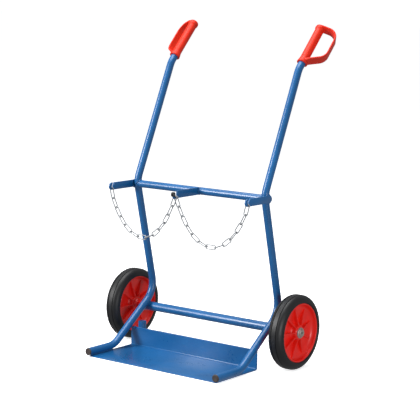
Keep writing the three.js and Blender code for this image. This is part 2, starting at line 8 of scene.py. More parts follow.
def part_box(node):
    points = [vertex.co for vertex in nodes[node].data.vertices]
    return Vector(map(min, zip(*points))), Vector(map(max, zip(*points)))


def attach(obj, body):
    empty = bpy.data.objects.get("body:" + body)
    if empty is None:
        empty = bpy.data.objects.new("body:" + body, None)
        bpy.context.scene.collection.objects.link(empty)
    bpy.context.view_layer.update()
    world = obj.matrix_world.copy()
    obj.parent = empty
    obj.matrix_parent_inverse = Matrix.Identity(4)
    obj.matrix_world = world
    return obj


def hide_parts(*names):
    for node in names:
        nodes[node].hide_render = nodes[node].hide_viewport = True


# Welding cart for two gas cylinders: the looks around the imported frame.
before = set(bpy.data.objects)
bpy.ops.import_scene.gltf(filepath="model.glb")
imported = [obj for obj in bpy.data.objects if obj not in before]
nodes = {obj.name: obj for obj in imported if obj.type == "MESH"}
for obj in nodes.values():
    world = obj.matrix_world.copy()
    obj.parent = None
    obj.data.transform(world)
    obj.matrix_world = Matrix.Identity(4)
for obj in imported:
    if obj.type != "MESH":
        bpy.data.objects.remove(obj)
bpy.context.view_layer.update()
sides = (("left", -1), ("right", 1))
print("frame loaded:", len(nodes), "nodes")


# shader maths
def clearTree(tree):
    for node in list(tree.nodes):
        tree.nodes.remove(node)


class Field:
    # wraps one output socket, so that sums and products add their Math nodes
    def __init__(self, shader, socket):
        self.shader = shader
        self.socket = socket

    def maths(self, operation, *others):
        return self.shader.add("ShaderNodeMath", {"operation": operation}, *others)

    def __add__(self, other):
        return self.maths("ADD", self, other)

    def __radd__(self, other):
        return self.maths("ADD", other, self)

    def __sub__(self, other):
        return self.maths("SUBTRACT", self, other)

    def __rsub__(self, other):
        return self.maths("SUBTRACT", other, self)

    def __mul__(self, other):
        return self.maths("MULTIPLY", self, other)

    def __rmul__(self, other):
        return self.maths("MULTIPLY", other, self)

    def __truediv__(self, other):
        return self.maths("DIVIDE", self, other)

    def clamped(self):
        return self.maths("MAXIMUM", self.maths("MINIMUM", self, 1.0), 0.0)

    def above(self, low, high):
        # 0 below low, 1 above high, straight between
        return ((self - low) / (high - low)).clamped()


class Shader:
    def __init__(self, name):
        self.material = bpy.data.materials.new(name)
        self.material.use_nodes = True
        self.tree = self.material.node_tree
        clearTree(self.tree)
        self.out = self.tree.nodes.new("ShaderNodeOutputMaterial")
        self.surface = self.tree.nodes.new("ShaderNodeBsdfPrincipled")
        self.tree.links.new(self.surface.outputs[0], self.out.inputs[0])

    def add(self, nodeType, settings, *values, output=0):
        node = self.tree.nodes.new(nodeType)
        for key, value in settings.items():
            setattr(node, key, value)
        for index, value in enumerate(values):
            self.feed(node.inputs[index], value)
        return Field(self, node.outputs[output])

    def feed(self, socket, value):
        if value is None:
            return
        if isinstance(value, Field):
            self.tree.links.new(value.socket, socket)
        elif isinstance(value, (tuple, list)) and socket.type == "RGBA":
            socket.default_value = (*value[:3], 1)
        else:
            socket.default_value = value

    def place(self, scale=1.0, stretch=(1, 1, 1)):
        # object coordinates, so the pattern has a real size in metres
        coords = self.add("ShaderNodeTexCoord", {}, output=3)
        node = self.tree.nodes.new("ShaderNodeMapping")
        self.feed(node.inputs[0], coords)
        node.inputs["Scale"].default_value = [scale * s for s in stretch]
        return Field(self, node.outputs[0])

    def noise(self, where, scale, detail=3.0, roughness=0.55):
        node = self.tree.nodes.new("ShaderNodeTexNoise")
        self.feed(node.inputs["Vector"], where)
        node.inputs["Scale"].default_value = scale
        node.inputs["Detail"].default_value = detail
        node.inputs["Roughness"].default_value = roughness
        return Field(self, node.outputs[0])

    def blend(self, factor, first, second):
        node = self.tree.nodes.new("ShaderNodeMix")
        node.data_type = "RGBA"
        self.feed(node.inputs[0], factor)
        self.feed(node.inputs[6], first)
        self.feed(node.inputs[7], second)
        return Field(self, node.outputs[2])

    def set(self, **values):
        for key, value in values.items():
            self.feed(self.surface.inputs[key.replace("_", " ")], value)

    def bump(self, height, strength, distance, below=None):
        node = self.tree.nodes.new("ShaderNodeBump")
        node.inputs["Strength"].default_value = strength
        node.inputs["Distance"].default_value = distance
        self.feed(node.inputs["Height"], height)
        if below is not None:
            self.feed(node.inputs["Normal"], below)
        normal = Field(self, node.outputs[0])
        self.feed(self.surface.inputs["Normal"], normal)
        return normal


def hexColour(text):
    # sRGB hex to linear
    channels = [int(text[i:i + 2], 16) / 255 for i in (0, 2, 4)]
    return tuple(c / 12.92 if c <= 0.04045 else ((c + 0.055) / 1.055) ** 2.4 for c in channels)


# finishes
def powderCoat():
    look = {"base": "15609b", "deep": "12568c", "bright": "2270a8", "roughness": 0.3,
            "peelScale": 520, "cloudScale": 9}
    s = Shader("bluePowderCoat")
    where = s.place()
    cloud = s.noise(where, look["cloudScale"], 4)
    fine = s.noise(where, 160, 2)
    peel = s.noise(where, look["peelScale"], 2, 0.4)
    tone = s.blend(cloud.above(0.35, 0.7), hexColour(look["deep"]), hexColour(look["base"]))
    tone = s.blend(fine.above(0.62, 0.78) * 0.5, tone, hexColour(look["bright"]))
    s.set(Base_Color=tone, Roughness=look["roughness"] + (cloud - 0.5) * 0.16 + (fine - 0.5) * 0.1)
    s.set(Coat_Weight=0.2)
    s.set(Coat_Roughness=0.2)
    s.bump(peel, 0.2, 0.0004)
    return s.material


def weldPaint():
    # painted weld: same blue, a touch darker in the ripples
    s = Shader("paintedWeld")
    rough = s.noise(s.place(), 700, 3)
    s.set(Base_Color=s.blend(rough.above(0.3, 0.7), hexColour("164d80"), hexColour("1b639f")),
          Roughness=0.3 + rough * 0.15)
    s.set(Coat_Weight=0.25)
    s.bump(rough, 0.3, 0.0006)
    return s.material


def gripPlastic():
    look = {"base": "e02c0e", "warm": "e63a14", "deep": "d42409"}
    s = Shader("redGripPlastic")
    where = s.place()
    cloud = s.noise(where, 26, 3)
    grain = s.noise(where, 900, 3, 0.6)
    tone = s.blend(cloud.above(0.3, 0.75), hexColour(look["deep"]), hexColour(look["base"]))
    tone = s.blend(grain.above(0.55, 0.8) * 0.4, tone, hexColour(look["warm"]))
    s.set(Base_Color=tone, Roughness=0.42 + cloud * 0.1)
    s.set(Specular_IOR_Level=0.3)
    s.bump(grain, 0.04, 0.0001)
    return s.material


def rimPlastic():
    s = Shader("redRimPlastic")
    where = s.place()
    cloud = s.noise(where, 18, 3)
    grain = s.noise(where, 650, 3, 0.6)
    tone = s.blend(cloud.above(0.3, 0.7), hexColour("e0140a"), hexColour("ee200f"))
    s.set(Base_Color=tone, Roughness=0.32 + grain * 0.12)
    s.set(Coat_Weight=0.1)
    s.bump(grain, 0.08, 0.0002)
    return s.material


def tyreRubber():
    s = Shader("tyreRubber")
    where = s.place()
    dust = s.noise(where, 14, 5, 0.6)
    grain = s.noise(where, 420, 4, 0.65)
    tone = s.blend(dust.above(0.35, 0.75), hexColour("0a0a0b"), hexColour("141416"))
    tone = s.blend(grain.above(0.6, 0.85) * 0.5, tone, hexColour("242426"))
    s.set(Base_Color=tone, Roughness=0.36 + grain * 0.22)
    s.bump(grain, 0.35, 0.0006)
    return s.material


def zincPlate():
    s = Shader("zincPlate")
    where = s.place()
    cloud = s.noise(where, 240, 4)
    scratch = s.noise(s.place(1.0, (1, 1, 8)), 420, 2)
    tone = s.blend(cloud.above(0.3, 0.7), hexColour("8c8f91"), hexColour("a8aaac"))
    s.set(Base_Color=tone, Roughness=0.42 + cloud * 0.2)
    s.set(Metallic=0.3)
    s.bump(scratch, 0.15, 0.0003)
    return s.material


def spunSteel(name, dark, light):
    # turning marks ring the axle, which lies along X
    s = Shader(name)
    where = s.place()
    rings = s.noise(s.place(1.0, (30, 1, 1)), 60, 2)
    cloud = s.noise(where, 90, 4)
    tone = s.blend(cloud.above(0.3, 0.7), hexColour(dark), hexColour(light))
    s.set(Base_Color=tone, Roughness=0.3 + rings * 0.2)
    s.set(Metallic=0.9)
    s.bump(rings, 0.15, 0.0003)
    return s.material


def softPlastic(name, dark, light, roughness):
    s = Shader(name)
    where = s.place()
    cloud = s.noise(where, 60, 3)
    grain = s.noise(where, 800, 3)
    s.set(Base_Color=s.blend(cloud.above(0.3, 0.7), hexColour(dark), hexColour(light)),
          Roughness=roughness + grain * 0.16)
    s.bump(grain, 0.25, 0.0004)
    return s.material


bluePaint = powderCoat()
weldBlue = weldPaint()
gripRed = gripPlastic()
rimRed = rimPlastic()
rubber = tyreRubber()
zinc = zincPlate()
steel = spunSteel("spunSteel", "a79f96", "cdc6bd")
# the axle steel is near black as painted shade, so the axle end seen through each hub cap's hole reads as a
# dark hole
axleSteel = spunSteel("axleSteelPaintedHoleShade", "2c2a28", "45413e")
nylon = softPlastic("nylonBush", "cfcabd", "e0dccf", 0.42)
plugPlastic = softPlastic("footPlugPlastic", "332b28", "4a403c", 0.5)
blackVinyl = softPlastic("blackVinyl", "0d0d0e", "1b1b1d", 0.22)
print("finishes made")


# mesh helpers
def linked(name, data):
    thing = bpy.data.objects.new(name, data)
    bpy.context.scene.collection.objects.link(thing)
    return thing


def finishMesh(name, mesh, material, sharpAngle=38):
    mesh.materials.clear()
    mesh.materials.append(material)
    mesh.shade_smooth()
    mesh.set_sharp_from_angle(angle=radians(sharpAngle))
    return linked(name, mesh)


def mended(mesh, distance):
    # doubles merged and every face turned outwards
    build = bmesh.new()
    build.from_mesh(mesh)
    bmesh.ops.remove_doubles(build, verts=build.verts, dist=distance)
    bmesh.ops.recalc_face_normals(build, faces=build.faces)
    build.to_mesh(mesh)
    build.free()
    return mesh


def meshFrom(name, verts, faces):
    mesh = bpy.data.meshes.new(name)
    mesh.from_pydata([tuple(v) for v in verts], [], faces)
    mesh.update()
    return mended(mesh, 1e-7)


def withModifier(piece, kind, **settings):
    # adds one modifier and applies it
    modifier = piece.modifiers.new(kind, kind)
    for key, value in settings.items():
        setattr(modifier, key, value)
    depsgraph = bpy.context.evaluated_depsgraph_get()
    mesh = bpy.data.meshes.new_from_object(piece.evaluated_get(depsgraph))
    piece.modifiers.remove(modifier)
    old = piece.data
    piece.data = mesh
    bpy.data.meshes.remove(old)
    return piece


def bevelled(piece, width, segments=2, angle=35, sharpAngle=50):
    withModifier(piece, "BEVEL", width=width, segments=segments, limit_method="ANGLE",
                 angle_limit=radians(angle), harden_normals=False)
    piece.data.shade_smooth()
    piece.data.set_sharp_from_angle(angle=radians(sharpAngle))
    return piece


def settle(piece, body, slot, *replaced):
    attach(piece, body)
    if replaced:
        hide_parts(*replaced)
    return piece


def bentPath(corners, radius, stepDegrees=4):
    # corner points and one bend radius to a dense line with round bends
    corners = [Vector(c) for c in corners]
    line = [corners[0]]
    for before, corner, after in zip(corners, corners[1:], corners[2:]):
        into = (corner - before).normalized()
        out = (after - corner).normalized()
        turn = into.angle(out)
        axis = into.cross(out).normalized()
        start = corner - into * radius * tan(turn / 2)
        centre = start + axis.cross(into) * radius
        steps = max(3, ceil(degrees(turn) / stepDegrees))
        for k in range(steps + 1):
            line.append(centre + Matrix.Rotation(turn * k / steps, 3, axis) @ (start - centre))
    line.append(corners[-1])
    return line


def ringFrames(line):
    # a square frame at each point, carried along without twist
    tangents = []
    for i in range(len(line)):
        a = line[max(i - 1, 0)]
        b = line[min(i + 1, len(line) - 1)]
        tangents.append((b - a).normalized())
    first = Vector((1, 0, 0)) if abs(tangents[0].x) < 0.9 else Vector((0, 1, 0))
    normal = (first - tangents[0] * first.dot(tangents[0])).normalized()
    frames = []
    for point, tangent in zip(line, tangents):
        normal = (normal - tangent * normal.dot(tangent)).normalized()
        frames.append((point, tangent, normal, tangent.cross(normal)))
    return frames


def ringFaces(rings, count):
    # skin over rings of points laid one after another, with a cap at each end
    faces = []
    for i in range(rings - 1):
        for j in range(count):
            k = (j + 1) % count
            faces.append((i * count + j, i * count + k, (i + 1) * count + k, (i + 1) * count + j))
    faces.append(tuple(range(count - 1, -1, -1)))
    faces.append(tuple((rings - 1) * count + j for j in range(count)))
    return faces


def sweptMesh(name, line, section, scales=None):
    # a closed section carried along the line, with both ends capped
    verts = []
    for i, (point, _, across, up) in enumerate(ringFrames(line)):
        scale = scales[i] if scales else 1.0
        verts += [point + across * (u * scale) + up * (v * scale) for u, v in section]
    return meshFrom(name, verts, ringFaces(len(line), len(section)))


def roundSection(radius, count=40):
    return [(radius * cos(2 * pi * i / count), radius * sin(2 * pi * i / count))
            for i in range(count)]


def axisMatrix(origin, axis):
    # turns local Z onto the axis
    return Matrix.Translation(origin) @ Vector(axis).to_track_quat("Z", "Y").to_matrix().to_4x4()


def turnedMesh(name, profile, origin, axis, count=64):
    # radius and height pairs turned round an axis; ends on the axis or closes
    verts, faces, rings = [], [], []
    for radius, height in profile:
        if radius < 1e-9:
            rings.append([len(verts)])
            verts.append(Vector((0, 0, height)))
        else:
            rings.append(range(len(verts), len(verts) + count))
            verts += [Vector((radius * cos(2 * pi * i / count),
                              radius * sin(2 * pi * i / count), height)) for i in range(count)]
    onAxis = len(rings[0]) == 1 and len(rings[-1]) == 1
    pairs = list(zip(rings, rings[1:]))
    if not onAxis:
        pairs.append((rings[-1], rings[0]))
    for low, high in pairs:
        for i in range(count):
            k = (i + 1) % count
            if len(low) == 1 and len(high) == 1:
                continue
            if len(low) == 1:
                faces.append((low[0], high[k], high[i]))
            elif len(high) == 1:
                faces.append((low[i], low[k], high[0]))
            else:
                faces.append((low[i], low[k], high[k], high[i]))
    matrix = axisMatrix(origin, axis)
    return meshFrom(name, [matrix @ v for v in verts], faces)


def turnedPiece(name, profile, origin, axis, look, slot, node, count=48, body="cart_frame"):
    piece = finishMesh(name, turnedMesh(name + "Mesh", profile, origin, axis, count), look)
    return settle(piece, body, slot, node)


def painted(piece, *replaced):
    return settle(piece, "cart_frame", "blue_paint", *replaced)


def mirrored(upper):
    # a whole profile from the half above its middle
    return [(r, -h) for r, h in upper] + upper[::-1]


def spanOf(node):
    # centre and size of a frame node's box
    low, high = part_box(node)
    return (low + high) / 2, high - low


def arcPoints(centre, radius, fromDegrees, toDegrees, steps):
    points = []
    for k in range(steps + 1):
        angle = radians(fromDegrees + (toDegrees - fromDegrees) * k / steps)
        points.append((centre[0] + radius * cos(angle), centre[1] + radius * sin(angle)))
    return points


def slabMesh(name, outline, thickness, x, z):
    # an outline in Y and Z given a thickness along X, centred on its plane
    matrix = Matrix(((0, 0, 1, x), (1, 0, 0, 0), (0, 1, 0, z), (0, 0, 0, 1)))
    half = thickness / 2
    count = len(outline)
    verts = [matrix @ Vector((u, v, -half)) for u, v in outline]
    verts += [matrix @ Vector((u, v, half)) for u, v in outline]
    faces = [tuple(range(count - 1, -1, -1)), tuple(range(count, 2 * count))]
    for i in range(count):
        k = (i + 1) % count
        faces.append((i, k, count + k, count + i))
    return meshFrom(name, verts, faces)


# geometry nodes helpers
class NodeTree:
    # builds one modifier tree with named inputs
    def __init__(self, name):
        self.tree = bpy.data.node_groups.new(name, "GeometryNodeTree")
        self.tree.interface.new_socket("Geometry", in_out="INPUT", socket_type="NodeSocketGeometry")
        self.tree.interface.new_socket("Geometry", in_out="OUTPUT", socket_type="NodeSocketGeometry")
        self.inputs = {}
        self.values = {}

    def size(self, name, value, kind="NodeSocketFloat"):
        item = self.tree.interface.new_socket(name, in_out="INPUT", socket_type=kind)
        self.inputs[name] = item.identifier
        self.values[name] = value

    def start(self):
        self.source = self.tree.nodes.new("NodeGroupInput")

    def value(self, name):
        return self.source.outputs[name]

    def add(self, nodeType, links=(), output=0, **settings):
        node = self.tree.nodes.new(nodeType)
        for key, value in settings.items():
            setattr(node, key, value)
        for socket, value in dict(links).items():
            target = node.inputs[socket]
            if isinstance(value, bpy.types.NodeSocket):
                self.tree.links.new(value, target)
            else:
                target.default_value = value
        return node.outputs[output]

    def maths(self, operation, first, second=0.0):
        return self.add("ShaderNodeMath", {0: first, 1: second}, operation=operation)

    def finish(self, geometry, material):
        real = self.add("GeometryNodeRealizeInstances", {0: geometry})
        last = self.add("GeometryNodeSetMaterial", {0: real, "Material": material})
        end = self.tree.nodes.new("NodeGroupOutput")
        self.tree.links.new(last, end.inputs[0])

    def result(self, name, seedMesh, material, sharpAngle=60):
        seedPiece = linked(name + "Seed", seedMesh)
        modifier = seedPiece.modifiers.new("tree", "NODES")
        modifier.node_group = self.tree
        for key, identifier in self.inputs.items():
            modifier[identifier] = self.values[key]
        depsgraph = bpy.context.evaluated_depsgraph_get()
        mesh = bpy.data.meshes.new_from_object(seedPiece.evaluated_get(depsgraph))
        seedPiece.modifiers.remove(modifier)
        bpy.data.objects.remove(seedPiece)
        mesh.name = name
        return finishMesh(name, mended(mesh, 1e-6), material, sharpAngle)


def lineMesh(name, points, closed=False):
    mesh = bpy.data.meshes.new(name)
    edges = [(i, i + 1) for i in range(len(points) - 1)]
    if closed:
        edges.append((len(points) - 1, 0))
    mesh.from_pydata([tuple(p) for p in points], edges, [])
    return mesh


def weldBead(name, points, closed=False, beadRadius=0.0024, ripplePitch=0.0026):
    # overlapping ripples laid along a seam, one squashed ball for each
    tree = NodeTree(name + "Tree")
    tree.size("Bead Radius", beadRadius)
    tree.size("Ripple Pitch", ripplePitch)
    tree.size("Seed", 7, "NodeSocketInt")
    tree.start()
    curve = tree.add("GeometryNodeMeshToCurve", {0: tree.source.outputs[0]})
    laid = tree.add("GeometryNodeCurveToPoints", {0: curve, "Length": tree.value("Ripple Pitch")},
                    mode="LENGTH")
    turn = laid.node.outputs["Rotation"]
    ball = tree.add("GeometryNodeMeshUVSphere",
                    {"Radius": tree.value("Bead Radius"), "Segments": 8, "Rings": 5})
    ball = tree.add("GeometryNodeTransform", {0: ball, "Scale": (1.0, 1.0, 0.85)})
    size = tree.add("FunctionNodeRandomValue", {2: 0.88, 3: 1.12, "Seed": tree.value("Seed")}, output=1,
                    data_type="FLOAT")
    placed = tree.add("GeometryNodeInstanceOnPoints", {"Points": laid, "Instance": ball, "Rotation": turn,
                                                      "Scale": size})
    tree.finish(placed, weldBlue)
    bead = tree.result(name, lineMesh(name + "Line", points, closed), weldBlue)
    return painted(bead)


# frame tubes
sideTubeSpec = {"track": 0.538, "radius": 0.0127, "bend": 0.076, "front": -0.116, "floorGap": 0.0043,
                "weldGap": 0.0003, "waist": 0.580, "shoulder": 0.984, "gripRun": 0.1857,
                "diagonal": 36.6, "uprightLean": 14.3, "upperLean": 23.85, "gripLean": 43.3}


def tubeRoute():
    # Y and Z of the corners: foot, knee, bend behind the axle, waist, shoulder and top
    spec = sideTubeSpec
    axle, size = spanOf("axle_tube")
    diagonal, lean, upper, grip = (radians(spec[key])
                                   for key in ("diagonal", "uprightLean", "upperLean", "gripLean"))
    footZ = spec["floorGap"] + spec["radius"]
    reach = spec["radius"] + size.z / 2 + spec["weldGap"]
    touchY = axle.y - reach * sin(diagonal)
    touchZ = axle.z + reach * cos(diagonal)
    cut = spec["bend"] * tan((pi / 2 + lean - diagonal) / 2)
    rearY = touchY + cut * cos(diagonal)
    rearZ = touchZ + cut * sin(diagonal)
    waistY = rearY - (spec["waist"] - rearZ) * tan(lean)
    shoulderY = waistY + (spec["shoulder"] - spec["waist"]) * tan(upper)
    kneeY = touchY - (touchZ - footZ) / tan(diagonal)
    topY = shoulderY + spec["gripRun"] * sin(grip)
    topZ = spec["shoulder"] + spec["gripRun"] * cos(grip)
    return [(spec["front"], footZ), (kneeY, footZ), (rearY, rearZ), (waistY, spec["waist"]),
            (shoulderY, spec["shoulder"]), (topY, topZ)]


tubeYZ = tubeRoute()


def tubeCorners(x):
    return [Vector((x, y, z)) for y, z in tubeYZ]


def tubeDepthAt(height):
    # Y of the side tube's centre line above its rear bend
    line = bentPath(tubeCorners(0), sideTubeSpec["bend"])
    for a, b in reversed(list(zip(line, line[1:]))):
        if a.z <= height <= b.z:
            share = (height - a.z) / (b.z - a.z)
            return a.y + (b.y - a.y) * share
    return line[0].y


def sideTubes():
    radius = sideTubeSpec["radius"]
    for side, _ in sides:
        line = bentPath(tubeCorners(spanOf(f"{side}_side_tube")[0].x), sideTubeSpec["bend"], 3)
        start = line[0]
        line.insert(1, start + (line[1] - start).normalized() * 0.0008)
        scales = [0.94] + [1.0] * (len(line) - 1)
        mesh = sweptMesh(f"{side}TubeMesh", line, roundSection(radius, 48), scales)
        tube = finishMesh(f"{side}_upright", mesh, bluePaint)
        painted(tube, f"{side}_side_tube")


def straightTubes():
    bar, _ = spanOf("upper_crossbar")
    half, r = sideTubeSpec["track"] / 2, sideTubeSpec["radius"]
    profile = [(0, -half), (r, -half), (r, half), (0, half)]
    turnedPiece("crossbar", profile, (0, bar.y, bar.z), (1, 0, 0), bluePaint, "blue_paint", "upper_crossbar")

    axle, size = spanOf("axle_tube")
    end, outer, inner = size.x / 2, size.z / 2, 0.0133
    profile = [(inner, -end + 0.0004), (inner + 0.0004, -end), (outer - 0.0006, -end), (outer, -end + 0.0006),
               (outer, end - 0.0006), (outer - 0.0006, end), (inner + 0.0004, end), (inner, end - 0.0004)]
    turnedPiece("axle_sleeve", profile, (0, axle.y, axle.z), (1, 0, 0), bluePaint, "blue_paint",
                "axle_tube", 56)


def frameWelds():
    radius = sideTubeSpec["radius"]
    half = sideTubeSpec["track"] / 2
    bar, _ = spanOf("upper_crossbar")
    barY, barZ = bar.y, bar.z
    lean = (Vector((0, tubeDepthAt(barZ + 0.02), barZ + 0.02)) -
            Vector((0, tubeDepthAt(barZ - 0.02), barZ - 0.02))).normalized()
    across = Vector((0, lean.z, -lean.y))
    axle, size = spanOf("axle_tube")
    axleRadius = size.z / 2
    knee, rear = (Vector((0, *tubeYZ[i])) for i in (1, 2))
    run = (rear - knee).normalized()
    up = Vector((0, -run.z, run.y))
    touch = Vector((0, axle.y, axle.z)) + up * axleRadius
    for side, sign in sides:
        saddle = []
        for k in range(36):
            angle = 2 * pi * k / 36
            offset = Vector((0, cos(angle), sin(angle))) * (radius + 0.0006)
            depth = min(abs(offset.dot(across)), radius * 0.995)
            seamX = sign * (half - sqrt(radius ** 2 - depth ** 2) - 0.0006)
            saddle.append(Vector((seamX, barY, barZ)) + offset)
        weldBead(f"{side}_crossbar_weld", saddle, closed=True)
        ring = []
        for k in range(28):
            angle = 2 * pi * k / 28
            aside, along = 0.0086 * cos(angle), 0.0096 * sin(angle)
            lift = (aside ** 2 / (2 * radius) - along ** 2 / (2 * axleRadius)) / 2
            ring.append(touch + Vector((sign * half + aside, 0, 0)) + run * along + up * lift)
        weldBead(f"{side}_axle_weld", ring, closed=True, beadRadius=0.0028)


# toe plate
def toePlate():
    spec = {"thickness": 0.004, "foldRadius": 0.008, "nose": 0.012, "noseEdge": 0.0016, "corner": 0.005}
    low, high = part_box("toe_plate")
    front, rear, top = low.y, high.y, high.z
    half = (high.x - low.x) / 2
    t, fold, corner = spec["thickness"], spec["foldRadius"], spec["corner"]
    stations = [((front, 0.0), (front, spec["noseEdge"]), half),
                ((front + spec["nose"], 0.0), (front + spec["nose"], t), half)]
    for share in (0.25, 0.5, 0.75):
        y = front + spec["nose"] + (rear - fold - front - spec["nose"]) * share
        stations.append(((y, 0.0), (y, t), half))
    for k in range(9):
        angle = radians(-90 + 90 * k / 8)
        c, s = cos(angle), sin(angle)
        outer = (rear - fold + fold * c, fold + fold * s)
        inner = (rear - fold + (fold - t) * c, fold + (fold - t) * s)
        stations.append((outer, inner, half))
    for k in range(9):
        angle = radians(90 * k / 8)
        z = top - corner + corner * sin(angle)
        width = half - corner + corner * cos(angle)
        stations.append(((rear, z), (rear - t, z), width))
    verts, faces = [], []
    for outer, inner, width in stations:
        for y, z in (outer, inner):
            verts += [Vector((-width, y, z)), Vector((width, y, z))]
    for i in range(len(stations) - 1):
        a, b = 4 * i, 4 * (i + 1)
        faces += [(a, a + 1, b + 1, b), (a + 2, b + 2, b + 3, a + 3),
                  (a, b, b + 2, a + 2), (a + 1, a + 3, b + 3, b + 1)]
    last = 4 * (len(stations) - 1)
    faces += [(0, 2, 3, 1), (last, last + 1, last + 3, last + 2)]
    plate = finishMesh("toe_sheet", meshFrom("toePlateMesh", verts, faces), bluePaint, 30)
    bevelled(plate, 0.0006, 2, 30, 30)
    painted(plate, "toe_plate")
    for side, sign in sides:
        x = sign * (sideTubeSpec["track"] / 2 - 0.0068)
        foot = [Vector((x, front + 0.006 + 0.012 * k, t + 0.0012)) for k in range(10)]
        weldBead(f"{side}_foot_weld", foot, beadRadius=0.0022)
        wallY = rear - t / 2
        spotX = sign * (sideTubeSpec["track"] / 2 - 0.013)
        spot = [Vector((spotX, wallY - 0.004 + 0.004 * k, top - 0.004 + 0.002 * k)) for k in range(3)]
        weldBead(f"{side}_flange_weld", spot, beadRadius=0.0028)


# arms and hook
def outerArms():
    spec = {"slotWidth": 0.0063, "slotFromTip": 0.0135, "slotSlant": 24, "slotFloor": 0.0055}
    for side, sign in sides:
        low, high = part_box(f"{side}_outer_arm")
        r = (high.z - low.z) / 2
        z = (high.z + low.z) / 2
        slotY = low.y + spec["slotFromTip"]
        w = spec["slotWidth"] / 2
        floor = spec["slotFloor"] + w - r
        slant = radians(spec["slotSlant"])

        def turned(u, v):
            # slot points lean back round the slot's lower centre
            return (slotY + u * cos(slant) + v * sin(slant),
                    floor - u * sin(slant) + v * cos(slant))

        def slotTop(u):
            v = (r - floor + u * sin(slant)) / cos(slant)
            return turned(u, v)

        outline = arcPoints((high.y - r, 0), r, -90, 90, 12)
        outline.append(slotTop(w))
        outline += [turned(*p) for p in arcPoints((0, 0), w, 0, -180, 8)]
        outline.append(slotTop(-w))
        rounded = arcPoints((low.y + r, 0), r, 90, 270, 12)
        limit = slotTop(-w)[0]
        outline += [p for p in rounded if p[0] < limit - 0.0002 or p[1] < 0]
        slab = slabMesh(f"{side}ArmMesh", outline, high.x - low.x, (low.x + high.x) / 2, z)
        arm = finishMesh(f"{side}_outrigger", slab, bluePaint)
        bevelled(arm, 0.0006)
        painted(arm, f"{side}_outer_arm")
        tubeY = (high.y - sideTubeSpec["radius"])
        x = sign * (sideTubeSpec["track"] / 2 + 0.0118)
        for edge in (1, -1):
            seam = [Vector((x, tubeY + 0.008 * k - 0.008, z + edge * (r + 0.0005))) for k in range(3)]
            weldBead(f"{side}_arm_weld_{'top' if edge > 0 else 'under'}", seam, beadRadius=0.0023)


def centreArm():
    low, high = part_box("centre_arm")
    r = (high.z - low.z) / 2
    z = (high.z + low.z) / 2
    outline = [(low.y, -r), (high.y + 0.002, -r), (high.y + 0.002, r), (low.y, r)]
    arm = finishMesh("centre_bar", slabMesh("centreArmMesh", outline, high.x - low.x, 0, z), bluePaint)
    bevelled(arm, 0.0006)
    painted(arm, "centre_arm")
    bar, size = spanOf("upper_crossbar")
    barY, barRadius = bar.y, size.z / 2
    for sign in (1, -1):
        rises = [r * share for share in (-0.94, -0.8, -0.5, 0, 0.5, 0.8, 0.94)]
        seam = [Vector((sign * 0.0034, barY - sqrt(barRadius ** 2 - rise ** 2) - 0.0006, z + rise))
                for rise in rises]
        weldBead(f"centre_arm_weld_{'right' if sign > 0 else 'left'}", seam, beadRadius=0.0022)


def hookAndCap():
    low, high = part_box("chain_hook")
    r = (high.x - low.x) / 2
    zRod, tipY = low.z + r, low.y + r
    corners = [(0, high.y + 0.0003, zRod), (0, tipY, zRod), (0, tipY, high.z)]
    line = bentPath(corners, 0.007, 8)
    hook = finishMesh("chain_peg", sweptMesh("hookMesh", line, roundSection(r, 28)), bluePaint)
    painted(hook, "chain_hook")
    armLow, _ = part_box("centre_arm")
    ring = [Vector((0.0037 * cos(a), armLow.y + 0.0006, zRod + 0.0037 * sin(a)))
            for a in [2 * pi * k / 16 for k in range(16)]]
    weldBead("hook_weld", ring, closed=True, beadRadius=0.0009, ripplePitch=0.0012)

    middle, size = spanOf("hook_cap")
    outer, h = size.x / 2, size.z
    bore = r + 0.0003
    profile = [(0, h - 0.003), (bore, h - 0.003), (bore, 0.0003), (bore + 0.0005, 0)]
    profile += arcPoints((outer - 0.0012, 0.0012), 0.0012, -90, 0, 4)
    profile += [(outer, h * 0.55)]
    profile += arcPoints((outer - 0.0055, h - 0.0055), 0.0055, 5, 85, 8)
    profile.append((0, h))
    turnedPiece("peg_cap", profile, (0, middle.y, middle.z - h / 2), (0, 0, 1), blackVinyl, "black_plastic",
                "hook_cap", 40)


# small fittings
def footPlugs():
    for side, _ in sides:
        middle, size = spanOf(f"{side}_foot_plug")
        r, length = size.z / 2, size.y
        profile = [(0, 0.0006), (r * 0.55, 0.0002), (r - 0.0032, 0)]
        profile += arcPoints((r - 0.0026, 0.0026), 0.0026, -80, 0, 6)
        profile += [(r, 0.0038), (r - 0.0006, 0.0042), (r - 0.0026, 0.0042)]
        for k in range(3):
            at = 0.006 + 0.005 * k
            profile += [(r - 0.0032, at), (r - 0.0026, at + 0.0012), (r - 0.0034, at + 0.0026)]
        profile += [(r - 0.0036, length), (0, length)]
        turnedPiece(f"{side}_tube_plug", profile, middle - Vector((0, length / 2, 0)), (0, 1, 0), plugPlastic,
                    "plug_plastic", f"{side}_foot_plug")


def rodHolder():
    low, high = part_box("rod_holder")
    x, y = (low.x + high.x) / 2, (low.y + high.y) / 2
    r, h = (high.x - low.x) / 2, high.z - low.z
    inner = r - 0.002
    profile = [(0, 0), (r - 0.0006, 0), (r, 0.0006), (r, h - 0.0006), (r - 0.0006, h), (inner + 0.0005, h),
               (inner, h - 0.0006), (inner, 0.0024), (inner - 0.0006, 0.002), (0, 0.002)]
    turnedPiece("rod_cup", profile, (x, y, low.z), (0, 0, 1), bluePaint, "blue_paint", "rod_holder", 56)
    _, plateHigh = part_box("toe_plate")
    for sign in (-1, 1):
        seam = [Vector((x + sign * 0.0062, plateHigh.y + 0.0014, 0.016 + 0.009 * k)) for k in range(6)]
        weldBead(f"rod_cup_weld_{'right' if sign > 0 else 'left'}", seam, beadRadius=0.0019)


